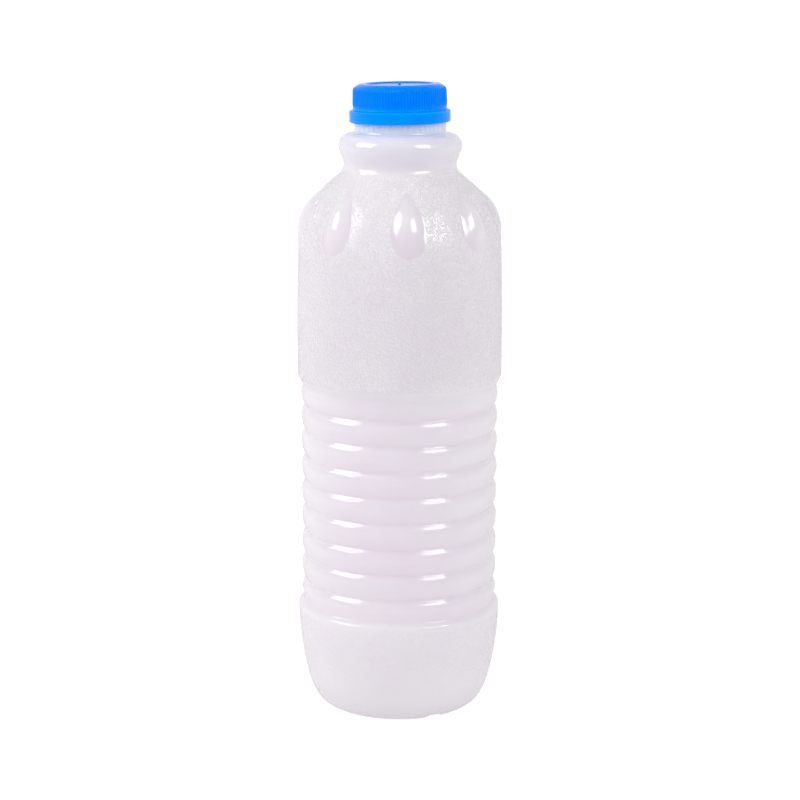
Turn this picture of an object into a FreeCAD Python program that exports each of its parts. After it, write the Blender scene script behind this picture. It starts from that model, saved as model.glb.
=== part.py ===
import FreeCAD, Part
import math
import os
import re

from FreeCAD import Base, Units
import Sketcher

# One-litre drinking-yogurt bottle, blow moulded in milky polyethylene and shut
# with a knurled blue screw cap that still carries its tamper band.
# Frame: +Z up, origin at the middle of the foot, -Y is the front, +X its right.
# Azimuths are counted from the front (-Y) towards the right (+X).

doc = FreeCAD.newDocument("YogurtBottle")

# ---------------------------------------------------------------- sizes (mm)
SIZES = [
    # foot and lower wall
    ("foot_radius", 27.1, "where the foot ring touches the table"),
    ("foot_inner", 23.0, "inner edge of the flat foot ring"),
    ("push_up", 4.0, "height of the dished underside"),
    ("push_radius", 17.0, "radius where the dish levels out"),
    ("heel_round", 9.0, "heel rounding next to the foot"),
    ("heel_mid", 30.0, "second heel arc"),
    ("heel_long", 136.0, "long arc of the lower wall"),
    ("heel_ang", 30.0, "tilt where the two heel arcs meet, degrees"),
    ("wall_ang", 14.0, "tilt where the long wall arc starts, degrees"),
    ("bumper_radius", 41.95, "largest radius, lower bumper"),
    ("bumper_top", 41.9, "height of the lower bumper's edge"),
    ("bumper_step", 2.75, "height of the ledge over the bumper's edge"),
    ("cove_radius", 39.7, "radius of the wall over that ledge"),
    ("cove_top", 46.2, "height where the lowest rib starts"),
    # ribbed grip
    ("rib_radius", 40.38, "crest radius of the ribs"),
    ("first_groove", 53.45, "height of the lowest groove"),
    ("groove_pitch", 10.571, "distance between the grooves"),
    ("groove_count", 8.0, "number of grooves"),
    ("rib_peak", 0.43, "where a rib is fullest, as a part of the pitch down from its top"),
    ("rib_bulge", 1.4, "how far a rib's flanks fall back"),
    ("rib_power", 2.1, "how late they do so"),
    ("rib_cut", 0.28, "extra depth of the narrow groove between two ribs"),
    ("top_rib", 132.6, "height of the crest of the top rib"),
    ("neckline_z", 135.8, "height of the groove under the panel"),
    ("neckline_r", 39.85, "radius of that groove"),
    # upper panel
    ("panel_bottom", 139.9, "height of the panel's lower corner"),
    ("panel_radius", 41.93, "panel radius at its lower corner"),
    ("panel_mid_z", 165.0, "height of the fullest part of the panel"),
    ("panel_mid_r", 41.95, "radius there"),
    ("panel_top", 193.0, "height where the shoulder starts"),
    ("panel_top_r", 41.27, "panel radius there"),
    # shoulder, waist and collar bead
    ("shoulder_round", 48.75, "rounding of the shoulder"),
    ("shoulder_low_r", 30.64, "radius where the shoulder turns into the slope to the waist"),
    ("shoulder_low_z", 216.91, "height where it does"),
    ("shoulder_b", 49.4, "tilt of the upper slope, degrees"),
    ("waist_r", 22.75, "smallest radius of the waist"),
    ("waist_z", 226.0, "height of the waist"),
    ("waist_round", 5.07, "waist rounding towards the shoulder"),
    ("bead_cone", 23.0, "tilt of the bead's underside, degrees"),
    ("bead_r", 25.0, "largest radius of the collar bead"),
    ("bead_z", 233.3, "height of that largest radius"),
    ("bead_round", 4.9, "rounding of the bead"),
    ("bead_in", 19.1, "radius where the bead meets the collar"),
    # collar ring, finish
    ("collar_r", 18.35, "collar radius between its fine ribs"),
    ("collar_rib", 0.17, "height of the collar's fine ribs"),
    ("collar_rib_w", 1.2, "width of a fine rib"),
    ("collar_ribs", 50.0, "number of fine ribs"),
    ("collar_foot", 1.3, "how far over the bead the fine ribs start"),
    ("collar_top", 242.5, "height where its ribs end"),
    ("lock_top", 246.6, "top of the plain ring inside the tamper band"),
    ("finish_r", 17.0, "plain finish inside the cap"),
    ("finish_top", 256.1, "top of the finish"),
    # raised drops round the shoulder
    ("drop_count", 8.0, "number of drops"),
    ("drop_tip", 217.6, "height of a drop's tip"),
    ("drop_bottom", 192.6, "height of a drop's round end"),
    ("drop_half", 6.7, "half of a drop's largest width"),
    ("drop_point", 0.75, "how pointed a drop's tip is"),
    ("crest_round", 18.7, "rounding of a drop's crest line"),
    ("crest_z", 199.1, "height where that rounding starts"),
    ("drop_bury", 2.2, "depth of a drop's root in the wall"),
    # parting line notch across the foot
    ("notch_width", 7.4, "width of the pinch-off notch, half way up its sides"),
    ("notch_depth", 2.6, "depth of the pinch-off notch"),
    ("notch_side", 1.8, "how far each of its sides leans over that depth"),
    ("parting_azimuth", 27.4, "azimuth of the mould parting line, degrees"),
    # cap, measured up from the lower edge of its tamper band
    ("cap_seat", 242.8, "height of the tamper band's lower edge"),
    ("cap_height", 15.2, "band and cap together"),
    ("cap_tilt", 0.9, "how far the cap sits askew, degrees"),
    ("cap_shift", 0.25, "how far it sits off the axis"),
    ("band_r", 20.35, "outer radius of the tamper band"),
    ("band_in", 18.95, "inner radius of the tamper band"),
    ("band_top", 4.65, "height of the tamper band"),
    ("band_edge", 0.45, "rounding of the band's edges"),
    ("slit_top", 4.95, "upper edge of the slit over the band"),
    ("slit_r", 18.62, "bottom of the slit"),
    ("skirt_in", 17.35, "inside radius of the cap"),
    ("skirt_low_r", 18.8, "skirt radius between knurls, at its rim"),
    ("skirt_high_r", 18.5, "skirt radius between knurls, under the shoulder"),
    ("shoulder_cap", 3.4, "height of the cap's shoulder"),
    ("shoulder_arc", 3.0, "rounding of that shoulder"),
    ("top_disc", 13.0, "radius of the sunk disc on top"),
    ("top_sink", 0.45, "how deep that disc lies"),
    ("lid_gap", 0.3, "room over the finish for the tilt"),
    ("knurl_count", 100.0, "number of knurls"),
    ("knurl_height", 0.28, "height of a knurl"),
    ("knurl_width", 0.7, "width of a knurl"),
    ("knurl_from", 5.95, "lower end of the knurls"),
    ("knurl_to", 12.6, "upper end of the knurls"),
    ("gate_r", 0.56, "radius of the gate stub at its root"),
    ("gate_h", 0.75, "height of the gate stub over the disc"),
]

sheet = doc.addObject("Spreadsheet::Sheet", "Sizes")
sheet.set("A1", "size")
sheet.set("B1", "value")
sheet.set("C1", "meaning")
for row, (alias, value, meaning) in enumerate(SIZES, start=2):
    sheet.set("A%d" % row, alias)
    sheet.set("B%d" % row, repr(value))
    sheet.setAlias("B%d" % row, alias)
    sheet.set("C%d" % row, meaning)
doc.recompute()

NAMES = [name for name, _, _ in SIZES]
V = {name: float(sheet.get(name)) for name in NAMES}


def deg(x):
    return math.radians(x)


PY = {"sin": math.sin, "cos": math.cos, "tan": math.tan, "sqrt": math.sqrt,
      "deg": deg}
TOKEN = re.compile(r"[A-Za-z_][A-Za-z_0-9]*")


class Size:
    """A length worked out from named sizes: its number and its formula."""

    def __init__(self, value, text):
        self.value = value
        self.text = text

    def _other(self, other):
        return other if isinstance(other, Size) else Size(float(other), repr(float(other)))

    def __add__(self, o):
        o = self._other(o)
        return Size(self.value + o.value, "(%s + %s)" % (self.text, o.text))

    def __sub__(self, o):
        o = self._other(o)
        return Size(self.value - o.value, "(%s - %s)" % (self.text, o.text))

    def __mul__(self, o):
        o = self._other(o)
        return Size(self.value * o.value, "(%s * %s)" % (self.text, o.text))

    def __truediv__(self, o):
        o = self._other(o)
        return Size(self.value / o.value, "(%s / %s)" % (self.text, o.text))

    def __rmul__(self, o):
        return self._other(o) * self

    def __radd__(self, o):
        return self._other(o) + self

    def __rsub__(self, o):
        return self._other(o) - self


def S(name):
    return Size(V[name], "Sizes." + name)


def K(number):
    return Size(float(number), repr(float(number)))


def sin_of(size):
    return Size(math.sin(deg(size.value)), "sin(%s * 1 deg)" % size.text)


def cos_of(size):
    return Size(math.cos(deg(size.value)), "cos(%s * 1 deg)" % size.text)


def tan_of(size):
    return Size(math.tan(deg(size.value)), "tan(%s * 1 deg)" % size.text)


def power(base, exponent):
    return Size(base.value ** exponent.value, "pow(%s; %s)" % (base.text, exponent.text))


def origin_plane(body, role):
    for feature in body.Origin.OriginFeatures:
        if feature.Role == role:
            return feature
    raise RuntimeError("no origin feature " + role)


def closed_sketch(body, name, role, path, lift=None):
    """A closed outline on one of the body's own origin planes.

    path: list of (u, v, kind), where kind tells how the outline runs from this
    corner to the next one: None for a straight line, or (radius, side) for an
    arc; side +1 bulges to the left of the way, -1 to the right."""
    sk = body.newObject("Sketcher::SketchObject", name)
    sk.AttachmentSupport = [(origin_plane(body, role), "")]
    sk.MapMode = "FlatFace"
    if lift is not None:
        sk.AttachmentOffset = Base.Placement(Base.Vector(0, 0, lift.value), Base.Rotation())
        sk.setExpression("AttachmentOffset.Base.z", lift.text)
    ends = []
    n = len(path)
    for i, (u, v, kind) in enumerate(path):
        u2, v2, _ = path[(i + 1) % n]
        p = Base.Vector(u.value, v.value, 0)
        q = Base.Vector(u2.value, v2.value, 0)
        if kind is None:
            g = sk.addGeometry(Part.LineSegment(p, q), False)
            ends.append((g, 1, 2))
        else:
            radius, side = kind
            chord = q - p
            half = chord.Length / 2.0
            if radius.value <= half:
                raise RuntimeError("%s: arc %d is too small" % (name, i))
            mid = (p + q) * 0.5
            left = Base.Vector(-chord.y, chord.x, 0)
            left.normalize()
            away = math.sqrt(radius.value ** 2 - half ** 2)
            centre = mid - left * (side * away)
            a = math.atan2(p.y - centre.y, p.x - centre.x)
            b = math.atan2(q.y - centre.y, q.x - centre.x)
            circle = Part.Circle(centre, Base.Vector(0, 0, 1), radius.value)
            if side > 0:            # bulging left: the way runs clockwise
                while a < b:
                    a += 2 * math.pi
                g = sk.addGeometry(Part.ArcOfCircle(circle, b, a), False)
                ends.append((g, 2, 1))
            else:
                while b < a:
                    b += 2 * math.pi
                g = sk.addGeometry(Part.ArcOfCircle(circle, a, b), False)
                ends.append((g, 1, 2))
    for i in range(n):
        g, _, last = ends[i]
        g2, first, _ = ends[(i + 1) % n]
        sk.addConstraint(Sketcher.Constraint("Coincident", g, last, g2, first))
    for i, (u, v, kind) in enumerate(path):
        g, first, _ = ends[i]
        if abs(u.value) < 1e-9:
            sk.addConstraint(Sketcher.Constraint("PointOnObject", g, first, -2))
        else:
            c = sk.addConstraint(Sketcher.Constraint("DistanceX", -1, 1, g, first, u.value))
            sk.setExpression("Constraints[%d]" % c, u.text)
        if abs(v.value) < 1e-9:
            sk.addConstraint(Sketcher.Constraint("PointOnObject", g, first, -1))
        else:
            c = sk.addConstraint(Sketcher.Constraint("DistanceY", -1, 1, g, first, v.value))
            sk.setExpression("Constraints[%d]" % c, v.text)
        if kind is not None:
            c = sk.addConstraint(Sketcher.Constraint("Radius", g, kind[0].value))
            sk.setExpression("Constraints[%d]" % c, kind[0].text)
    return sk


def turned(body, name, sketch, kind="PartDesign::Revolution"):
    feature = body.newObject(kind, name)
    feature.Profile = sketch
    feature.ReferenceAxis = (sketch, ["V_Axis"])
    feature.Angle = 360.0
    feature.Reversed = False
    return feature


def ring_of(body, name, original, count):
    pattern = body.newObject("PartDesign::PolarPattern", name)
    pattern.Originals = [original]
    pattern.Axis = (origin_plane(body, "Z_Axis"), [""])
    pattern.Angle = 360.0
    pattern.Occurrences = int(round(count.value))
    pattern.setExpression("Occurrences", count.text)
    body.Tip = pattern
    return pattern


# ------------------------------------------------------------------- bottle
# Turned outline. All of it is one closed chain that starts on the axis at the
# dished underside and runs out and up over heel, bumper, ribs, panel,
# shoulder, waist, collar bead, collar and finish, and back down the axis.
bottle = doc.addObject("PartDesign::Body", "bottle")
bottle.Label = "bottle"

zero = K(0)
heel_c = S("foot_radius")
a_heel = S("heel_ang")
a_wall = S("wall_ang")

# heel: arc 1 from the foot to heel_ang, arc 2 to wall_ang, arc 3 to the bumper
h1r = heel_c + S("heel_round") * cos_of(a_heel)
h1z = S("heel_round") - S("heel_round") * sin_of(a_heel)
h2r = h1r + S("heel_mid") * (cos_of(a_wall) - cos_of(a_heel))
h2z = h1z + S("heel_mid") * (sin_of(a_heel) - sin_of(a_wall))

# shoulder: one large rounding, a straight slope, waist rounding
w1r = S("waist_r") + S("waist_round") * (K(1) - cos_of(S("shoulder_b")))
w1z = S("waist_z") - S("waist_round") * sin_of(S("shoulder_b"))
w2r = S("waist_r") + S("waist_round") * (K(1) - cos_of(S("bead_cone")))
w2z = S("waist_z") + S("waist_round") * sin_of(S("bead_cone"))
b0r = S("bead_r") - S("bead_round") * (K(1) - cos_of(S("bead_cone")))
b0z = S("bead_z") - S("bead_round") * sin_of(S("bead_cone"))

outline = [
    (zero, S("push_up"), None),
    (S("push_radius"), S("push_up") * K(0.75), None),
    (S("foot_inner"), zero, None),
    (heel_c, zero, (S("heel_round"), -1)),
    (h1r, h1z, (S("heel_mid"), -1)),
    (h2r, h2z, (S("heel_long"), -1)),
    (S("bumper_radius"), S("bumper_top") - K(0.3), None),
    (S("bumper_radius") - K(0.14), S("bumper_top") + S("bumper_step") * K(0.33), None),
    (S("bumper_radius") - K(0.36), S("bumper_top") + S("bumper_step") * K(0.49), None),
    (S("cove_radius") + K(0.12), S("bumper_top") + S("bumper_step") * K(0.91), None),
    (S("cove_radius"), S("bumper_top") + S("bumper_step"), None),
    (S("cove_radius"), S("cove_top"), None),
    (S("rib_radius") - K(0.05), S("cove_top") + K(3.1), None),
    (S("rib_radius"), S("cove_top") + K(3.9), None),
    (S("rib_radius"), S("top_rib") - K(1.0), None),
    (S("rib_radius") + K(0.05), S("top_rib"), None),
    (S("neckline_r") + K(0.15), S("neckline_z") - K(0.8), None),
    (S("neckline_r"), S("neckline_z"), None),
    (S("neckline_r") + K(0.3), S("neckline_z") + K(0.85), None),
    (S("panel_radius") - K(0.22), S("panel_bottom") - K(0.35), None),
    (S("panel_radius"), S("panel_bottom") + K(0.35), None),
    (S("panel_mid_r"), S("panel_mid_z"), None),
    (S("panel_mid_r") - K(0.22), S("panel_mid_z") + K(12.0), None),
    (S("panel_top_r"), S("panel_top"), (S("shoulder_round"), -1)),
    (S("shoulder_low_r"), S("shoulder_low_z"), None),
    (w1r, w1z, (S("waist_round"), 1)),
    (w2r, w2z, None),
    (b0r, b0z, (S("bead_round"), -1)),
    (S("bead_r"), S("bead_z"), (S("bead_round"), -1)),
    (S("bead_r") - S("bead_round"), S("bead_z") + S("bead_round"), None),
    (S("bead_in"), S("bead_z") + S("bead_round") + K(0.1), None),
    (S("collar_r") + K(0.28), S("bead_z") + S("bead_round") + K(0.45), None),
    (S("collar_r") + K(0.06), S("bead_z") + S("bead_round") + K(0.95), None),
    (S("collar_r"), S("bead_z") + S("bead_round") + K(1.5), None),
    (S("collar_r"), S("lock_top"), None),
    (S("finish_r"), S("lock_top"), None),
    (S("finish_r"), S("finish_top"), None),
    (zero, S("finish_top"), None),
]
profile = closed_sketch(bottle, "bottle_outline", "XZ_Plane", outline)
body_turn = turned(bottle, "bottle_turned", profile)
doc.recompute()
volume_plain = bottle.Shape.Volume

# Groove between two ribs: the flank over it belongs to the rib above and falls
# back slowly, the flank under it belongs to the rib below and is steeper. The
# cutter reaches out past the crest.
rr, gz = S("rib_radius"), S("first_groove")
over = S("groove_pitch") * (K(1) - S("rib_peak"))
under = S("groove_pitch") * S("rib_peak")


def groove_point(length, part, way):
    """Point of a flank, at a part of its length away from the groove."""
    d = length * K(part)
    near = math.exp(-(d.value ** 2) / (2 * 0.5 ** 2))
    depth = S("rib_bulge") * power(K(1.0 - part), S("rib_power")) + S("rib_cut") * K(near)
    return (rr - depth, gz + d if way > 0 else gz - d, None)


parts = [0.1, 0.22, 0.38, 0.56, 0.76]
groove_path = [groove_point(over, 0.0, 1)]
groove_path += [groove_point(over, part, 1) for part in parts]
groove_path += [
    (rr + K(0.01), gz + over * K(0.97), None),
    (rr + K(2.0), gz + over * K(0.97), None),
    (rr + K(2.0), gz - under * K(0.97), None),
    (rr + K(0.01), gz - under * K(0.97), None),
]
groove_path += [groove_point(under, part, -1) for part in parts[::-1]]
groove_sketch = closed_sketch(bottle, "groove_outline", "XZ_Plane", groove_path)
groove = turned(bottle, "groove", groove_sketch, "PartDesign::Groove")
doc.recompute()
grooves = bottle.newObject("PartDesign::LinearPattern", "grooves")
grooves.Originals = [groove]
grooves.Direction = (origin_plane(bottle, "Z_Axis"), [""])
grooves.Mode = "Spacing"
grooves.Offset = V["groove_pitch"]
grooves.setExpression("Offset", "Sizes.groove_pitch")
grooves.Occurrences = int(V["groove_count"])
grooves.setExpression("Occurrences", "Sizes.groove_count")
bottle.Tip = grooves
doc.recompute()
volume_grooved = bottle.Shape.Volume


# Raised drops: a loft of ellipses stacked up the shoulder. The half width
# follows the teardrop curve w = sin(t) * sin(t / 2) ^ point, the crest follows the
# rounding that joins panel and upper slope.
def wall_radius(z):
    """Radius of the turned wall at height z, between panel and waist."""
    pts = [(o[0].value, o[1].value, o[2]) for o in outline]
    for (r0, z0, kind), (r1, z1, _) in zip(pts[:-1], pts[1:]):
        if z0 <= z <= z1 and z0 >= V["panel_bottom"]:
            if kind is None:
                return r0 + (r1 - r0) * (z - z0) / (z1 - z0)
            p, q = Base.Vector(r0, z0, 0), Base.Vector(r1, z1, 0)
            chord = q - p
            left = Base.Vector(-chord.y, chord.x, 0)
            left.normalize()
            away = math.sqrt(kind[0].value ** 2 - (chord.Length / 2) ** 2)
            centre = (p + q) * 0.5 - left * (kind[1] * away)
            side = 1 if kind[1] < 0 else -1
            return centre.x + side * math.sqrt(kind[0].value ** 2 - (z - centre.y) ** 2)
    raise RuntimeError("no wall at %g" % z)


def crest_radius(z):
    """Radius of a drop's crest line at height z."""
    c, top = V["crest_round"], V["crest_z"]
    base = V["panel_top_r"] + 0.08
    bend = top + c * math.sin(deg(V["shoulder_b"]))
    if z <= top:
        return base
    if z <= bend:
        return base - c + math.sqrt(c * c - (z - top) ** 2)
    return base - c + c * math.cos(deg(V["shoulder_b"])) - (z - bend) * math.tan(deg(V["shoulder_b"]))


def drop_shape(t):
    return math.sin(t) * math.sin(t / 2.0) ** V["drop_point"]


drop_full = max(drop_shape(math.pi * i / 2000.0) for i in range(2001))


def drop_half_width(z):
    t = math.acos(max(-1.0, min(1.0, 1.0 - 2.0 * (V["drop_tip"] - z) / (V["drop_tip"] - V["drop_bottom"]))))
    return V["drop_half"] * drop_shape(t) / drop_full


length = V["drop_tip"] - V["drop_bottom"]
steps = [0.012, 0.06, 0.16, 0.30, 0.46, 0.62, 0.78, 0.90, 0.975]
sections = []
for i, s in enumerate(steps):
    z = V["drop_bottom"] + s * length
    rise = max(crest_radius(z) - wall_radius(z), 0.05)
    wide = drop_half_width(z)
    bury = V["drop_bury"]
    deep = rise + bury                      # radial half axis of the ellipse
    sag = wide * wide / (2.0 * wall_radius(z))
    inside = max(deep - rise - sag, -0.9 * deep)
    across = wide / math.sqrt(1.0 - (inside / deep) ** 2)
    centre = crest_radius(z) - deep
    sk = bottle.newObject("Sketcher::SketchObject", "drop_section_%d" % i)
    sk.AttachmentSupport = [(origin_plane(bottle, "XY_Plane"), "")]
    sk.MapMode = "FlatFace"
    sk.AttachmentOffset = Base.Placement(Base.Vector(0, 0, z), Base.Rotation())
    sk.setExpression("AttachmentOffset.Base.z",
                     "Sizes.drop_bottom + %r * (Sizes.drop_tip - Sizes.drop_bottom)" % s)
    # drops stand half a pitch either side of the parting plane (local X)
    a0 = math.pi / V["drop_count"]
    c = Base.Vector(centre * math.cos(a0), centre * math.sin(a0), 0)
    radial = Base.Vector(math.cos(a0), math.sin(a0), 0)
    cross = Base.Vector(-math.sin(a0), math.cos(a0), 0)
    big, small = (deep, across) if deep > across else (across, deep)
    d1, d2 = (radial, cross) if deep > across else (cross, radial)
    g = sk.addGeometry(Part.Ellipse(c + d1 * big, c + d2 * small, c), False)
    con = sk.addConstraint(Sketcher.Constraint("Distance", -1, 1, g, 3, centre))
    sections.append(sk)
doc.recompute()
drop = bottle.newObject("PartDesign::AdditiveLoft", "drop")
drop.Profile = sections[0]
drop.Sections = sections[1:]
drop.Ruled = False
drop.Closed = False
doc.recompute()
drops = ring_of(bottle, "drops", drop, S("drop_count"))
doc.recompute()
volume_drops = bottle.Shape.Volume

# fine upright ribs round the collar
half_rib = S("collar_rib_w") / K(2)
rib_path = [
    (S("collar_r") - K(0.4), zero - half_rib, None),
    (S("collar_r") + S("collar_rib") * K(0.75), zero - half_rib * K(0.62), None),
    (S("collar_r") + S("collar_rib"), zero - half_rib * K(0.3), None),
    (S("collar_r") + S("collar_rib"), half_rib * K(0.3), None),
    (S("collar_r") + S("collar_rib") * K(0.75), half_rib * K(0.62), None),
    (S("collar_r") - K(0.4), half_rib, None),
]
rib_sketch = closed_sketch(bottle, "collar_rib_outline", "XY_Plane", rib_path,
                           lift=S("bead_z") + S("bead_round") + S("collar_foot"))
rib = bottle.newObject("PartDesign::Pad", "collar_rib")
rib.Profile = rib_sketch
rib.Length = V["collar_top"] - V["bead_z"] - V["bead_round"] - V["collar_foot"]
rib.setExpression("Length", "Sizes.collar_top - Sizes.bead_z - Sizes.bead_round - Sizes.collar_foot")
doc.recompute()
ribs = ring_of(bottle, "collar_ribs", rib, S("collar_ribs"))
doc.recompute()
volume_ribs = bottle.Shape.Volume

# pinch-off notch: a shallow channel across the foot along the parting plane
notch_half = S("notch_width") / K(2)
notch_open = notch_half + S("notch_side") * K(0.5) + S("notch_side") / S("notch_depth")
notch_shut = notch_half - S("notch_side") * K(0.5)
notch_path = [
    (zero - notch_open, zero - K(1.0), None),
    (notch_open, zero - K(1.0), None),
    (notch_shut, S("notch_depth"), None),
    (zero - notch_shut, S("notch_depth"), None),
]
notch_sketch = closed_sketch(bottle, "notch_outline", "YZ_Plane", notch_path)
notch = bottle.newObject("PartDesign::Pocket", "notch")
notch.Profile = notch_sketch
notch.Type = "ThroughAll"
notch.Midplane = True
doc.recompute()
bottle.Tip = notch
doc.recompute()
volume_notched = bottle.Shape.Volume

# the parting plane (local X) is turned to its azimuth
bottle.Placement = Base.Placement(Base.Vector(0, 0, 0),
                                  Base.Rotation(Base.Vector(0, 0, 1), V["parting_azimuth"] - 90.0))
bottle.setExpression("Placement.Rotation.Angle", "(90 - Sizes.parting_azimuth) * 1 deg")
bottle.Placement = Base.Placement(Base.Vector(0, 0, 0),
                                  Base.Rotation(Base.Vector(0, 0, -1), 90.0 - V["parting_azimuth"]))

# ---------------------------------------------------------------------- cap
# One moulding: top, knurled skirt and, under a slit, the tamper band.
cap = doc.addObject("PartDesign::Body", "cap")
cap.Label = "cap"
H = S("cap_height")
lid_under = S("finish_top") - S("cap_seat") + S("lid_gap")
sc = S("shoulder_cap")
e = S("band_edge")
cap_path = [
    (zero, lid_under, None),
    (S("skirt_in"), lid_under, None),
    (S("skirt_in"), S("band_top") - K(0.7), None),
    (S("band_in"), S("band_top") - K(0.7), None),
    (S("band_in"), zero, None),
    (S("band_r") - e, zero, (e, -1)),
    (S("band_r"), e, None),
    (S("band_r"), S("band_top") - e, (e, -1)),
    (S("band_r") - e, S("band_top"), None),
    (S("slit_r"), S("band_top"), None),
    (S("slit_r") + K(0.02), S("slit_top") - K(0.15), None),
    (S("skirt_low_r") + K(0.2), S("slit_top") + K(0.12), None),
    (S("skirt_low_r") + K(0.24), S("slit_top") + K(0.3), None),
    (S("skirt_low_r"), S("slit_top") + K(0.95), None),
    (S("skirt_high_r") + K(0.12), H - sc, (S("shoulder_arc"), -1)),
    (S("skirt_high_r") - K(2.05), H - K(0.18), None),
    (S("skirt_high_r") - K(2.35), H, None),
    (S("top_disc") + K(0.35), H, None),
    (S("top_disc"), H - S("top_sink"), None),
    (S("gate_r"), H - S("top_sink"), None),
    (S("gate_r") * K(0.75), H - S("top_sink") + S("gate_h") * K(0.88), None),
    (S("gate_r") * K(0.54), H - S("top_sink") + S("gate_h"), None),
    (zero, H - S("top_sink") + S("gate_h"), None),
]
cap_sketch = closed_sketch(cap, "cap_outline", "XZ_Plane", cap_path)
cap_turn = turned(cap, "cap_turned", cap_sketch)
doc.recompute()
volume_cap = cap.Shape.Volume

half_knurl = S("knurl_width") / K(2)
kr = S("skirt_low_r")
knurl_path = [
    (kr - K(0.7), zero - half_knurl * K(1.05), None),
    (kr - K(0.02), zero - half_knurl * K(0.8), None),
    (kr + S("knurl_height") * K(0.85), zero - half_knurl * K(0.3), None),
    (kr + S("knurl_height") * K(0.85), half_knurl * K(0.3), None),
    (kr - K(0.02), half_knurl * K(0.8), None),
    (kr - K(0.7), half_knurl * K(1.05), None),
]
knurl_sketch = closed_sketch(cap, "knurl_outline", "XY_Plane", knurl_path, lift=S("knurl_from"))
knurl = cap.newObject("PartDesign::Pad", "knurl")
knurl.Profile = knurl_sketch
knurl.Length = V["knurl_to"] - V["knurl_from"]
knurl.setExpression("Length", "Sizes.knurl_to - Sizes.knurl_from")
doc.recompute()
knurls = ring_of(cap, "knurls", knurl, S("knurl_count"))
doc.recompute()
volume_knurled = cap.Shape.Volume

# the cap sits a little askew: its left side is the lower one
tilt = Base.Rotation(Base.Vector(0, -1, 0), V["cap_tilt"])
pivot = Base.Vector(0, 0, V["cap_height"] / 2.0)
seat = Base.Vector(-V["cap_shift"], 0, V["cap_seat"]) + pivot - tilt.multVec(pivot)
cap.Placement = Base.Placement(seat, tilt)
cap.setExpression("Placement.Rotation.Angle", "Sizes.cap_tilt * 1 deg")
cap.setExpression("Placement.Base.z",
                  "(Sizes.cap_seat + Sizes.cap_height / 2 * (1 - cos(Sizes.cap_tilt * 1 deg))) * 1 mm")
cap.setExpression("Placement.Base.x",
                  "(0 - Sizes.cap_shift + Sizes.cap_height / 2 * sin(Sizes.cap_tilt * 1 deg)) * 1 mm")
doc.recompute()

# ------------------------------------------------------------------- checks
print("volumes: turned %.1f, grooved %.1f, drops %.1f, ribs %.1f, notched %.1f"
      % (volume_plain, volume_grooved, volume_drops, volume_ribs, volume_notched))
print("cap: turned %.1f, knurled %.1f" % (volume_cap, volume_knurled))
assert volume_grooved < volume_plain - 500.0
assert volume_drops > volume_grooved + 100.0
assert volume_ribs > volume_drops + 10.0
assert volume_notched < volume_ribs - 20.0
assert volume_knurled > volume_cap + 30.0

for obj in doc.Objects:
    for state in obj.State:
        if state in ("Invalid", "Error"):
            raise RuntimeError("%s is %s" % (obj.Name, state))

os.makedirs("parts", exist_ok=True)
for part in (bottle, cap):
    shape = part.Shape
    if shape.isNull() or not shape.isValid() or len(shape.Solids) != 1:
        raise RuntimeError("%s: bad shape, %d solids" % (part.Label, len(shape.Solids)))
    box = shape.BoundBox
    print("%s: volume %.1f mm3, faces %d, box %.2f %.2f %.2f to %.2f %.2f %.2f"
          % (part.Label, shape.Volume, len(shape.Faces),
             box.XMin, box.YMin, box.ZMin, box.XMax, box.YMax, box.ZMax))
    shape.exportStep(os.path.join("parts", part.Label + ".step"))
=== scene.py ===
import math

import bpy
import numpy as np
from mathutils import Matrix, Vector


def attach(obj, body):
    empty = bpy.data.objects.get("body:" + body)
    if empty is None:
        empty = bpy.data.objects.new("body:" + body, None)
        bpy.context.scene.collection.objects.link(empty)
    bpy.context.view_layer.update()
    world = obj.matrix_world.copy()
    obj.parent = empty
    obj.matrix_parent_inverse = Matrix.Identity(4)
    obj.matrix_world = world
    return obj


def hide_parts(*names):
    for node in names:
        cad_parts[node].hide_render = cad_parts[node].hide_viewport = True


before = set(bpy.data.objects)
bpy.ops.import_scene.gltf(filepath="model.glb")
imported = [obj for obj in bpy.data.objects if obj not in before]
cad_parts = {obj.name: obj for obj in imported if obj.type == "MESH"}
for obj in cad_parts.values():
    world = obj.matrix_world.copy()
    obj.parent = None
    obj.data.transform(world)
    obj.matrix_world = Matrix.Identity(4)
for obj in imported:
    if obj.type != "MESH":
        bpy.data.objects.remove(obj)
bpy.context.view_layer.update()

MM = 0.001

# ------------------------------------------------------------------ sizes (mm)
# The same named sizes as the CAD model, so the shell lies on the CAD wall.
FOOT_R, FOOT_IN, PUSH_UP, PUSH_R = 27.1, 23.0, 4.0, 17.0
HEEL_ROUND, HEEL_MID, HEEL_LONG, HEEL_ANG, WALL_ANG = 9.0, 30.0, 136.0, 30.0, 14.0
BUMPER_R, BUMPER_TOP, BUMPER_RIM = 41.9, 41.9, 0.7
COVE_R, COVE_TOP = 39.70, 46.2
RIB_R, FIRST_GROOVE, PITCH, GROOVES = 40.38, 53.45, 10.571, 8
TOP_RIB, NECKLINE_Z, NECKLINE_R = 132.6, 135.8, 39.85
PANEL_BOTTOM, PANEL_R, PANEL_MID_Z, PANEL_MID_R = 139.9, 41.88, 165.0, 41.9
PANEL_TOP, PANEL_TOP_R = 193.0, 41.27
SHOULDER_R, SHOULDER_Z, SHOULDER_ROUND, SHOULDER_B = 30.64, 216.91, 48.75, 49.4
WAIST_R, WAIST_Z, WAIST_ROUND, BEAD_CONE = 22.75, 226.0, 5.07, 23.0
BEAD_R, BEAD_Z, BEAD_ROUND, BEAD_IN = 25.0, 233.3, 4.9, 19.1
COLLAR_R, COLLAR_RIB, COLLAR_RIBS, COLLAR_TOP = 18.35, 0.17, 50, 242.5
LOCK_TOP, FINISH_R, FINISH_TOP = 246.6, 17.0, 256.1
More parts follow.
